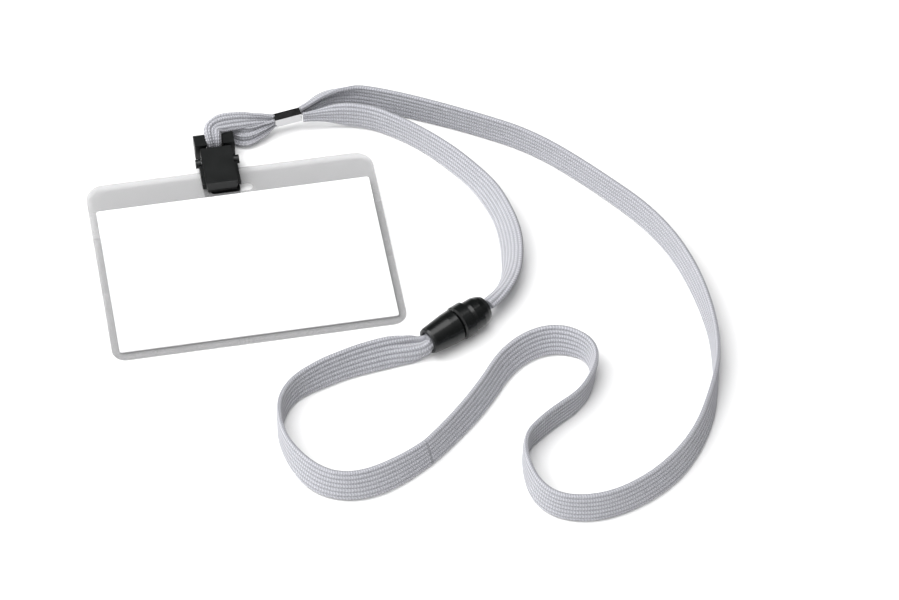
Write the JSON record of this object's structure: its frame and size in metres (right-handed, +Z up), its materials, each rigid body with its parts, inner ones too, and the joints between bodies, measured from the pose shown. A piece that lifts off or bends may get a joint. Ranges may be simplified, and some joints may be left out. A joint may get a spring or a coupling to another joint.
{
  "type": "lanyard badge holder",
  "caption": "Clear landscape card pocket on a snap-shut plastic clip, hung from a crimped flat ribbon lanyard with a barrel breakaway buckle, laid out on a table.",
  "frame": {"origin": "on the table under the middle of the badge and clip, without the lanyard", "axes": "+X to the right along the badge, +Y up the badge to the clip, +Z up from the table"},
  "size_m": [0.1901, 0.1868, 0.0115],
  "materials": {
    "clear_film": "clear soft film, slightly grey, glossy, with pressed weld lines",
    "card": "plain white card, smooth matte",
    "clip_plastic": "moulded black plastic, satin to glossy",
    "pin_steel": "plain steel pin",
    "crimp_metal": "bright nickel plate",
    "ribbon": "woven polyester ribbon, pale lilac grey, ribbed lengthwise",
    "buckle_plastic": "moulded black plastic, glossy",
    "wedge_plastic": "dark moulded plastic"
  },
  "bodies": {
    "lanyard": {"ribbon_long": "ribbon", "ribbon_short": "ribbon", "ribbon_bar_loop": "ribbon", "ribbon_front_leg": "ribbon", "ribbon_rear_leg": "ribbon", "crimp_ferrule": "crimp_metal", "ribbon_in_crimp": "ribbon", "buckle_socket": "buckle_plastic", "socket_ribbon_wedge": "wedge_plastic", "socket_ribbon_end": "ribbon"},
    "buckle_plug_half": {"buckle_plug": "buckle_plastic", "plug_ribbon_wedge": "wedge_plastic", "plug_ribbon_end": "ribbon", "ribbon_plug_side": "ribbon"},
    "clip": {"clip_base": "clip_plastic", "clip_hinge_pin": "pin_steel"},
    "jaw": {"clip_jaw": "clip_plastic"},
    "badge": {"pocket_back_film": "clear_film", "pocket_front_film": "clear_film"},
    "card": {"name_card": "card"}
  },
  "joints": [
    {"name": "buckle_release", "type": "slide", "parent": "lanyard", "child": "buckle_plug_half", "axis": [-0.8788, -0.4772, 0], "range_m": [0, 0.009]},
    {"name": "clip_swing", "type": "hinge", "parent": "lanyard", "child": "clip", "pos_m": [-0.003, 0.042, 0.0039], "axis": [-1, 0, 0], "range_deg": [0, 85]},
    {"name": "jaw_open", "type": "hinge", "parent": "clip", "child": "jaw", "pos_m": [-0.003, 0.033, 0.0032], "axis": [-1, 0, 0], "range_deg": [0, 30]},
    {"name": "badge_swivel", "type": "hinge", "parent": "clip", "child": "badge", "pos_m": [-0.003, 0.0218, 0.0017], "axis": [0, 0, 1], "range_deg": [-10, 10]},
    {"name": "card_shift", "type": "slide", "parent": "badge", "child": "card", "axis": [0, 0.9997, 0.0253], "range_m": [0, 0.0005]}
  ]
}
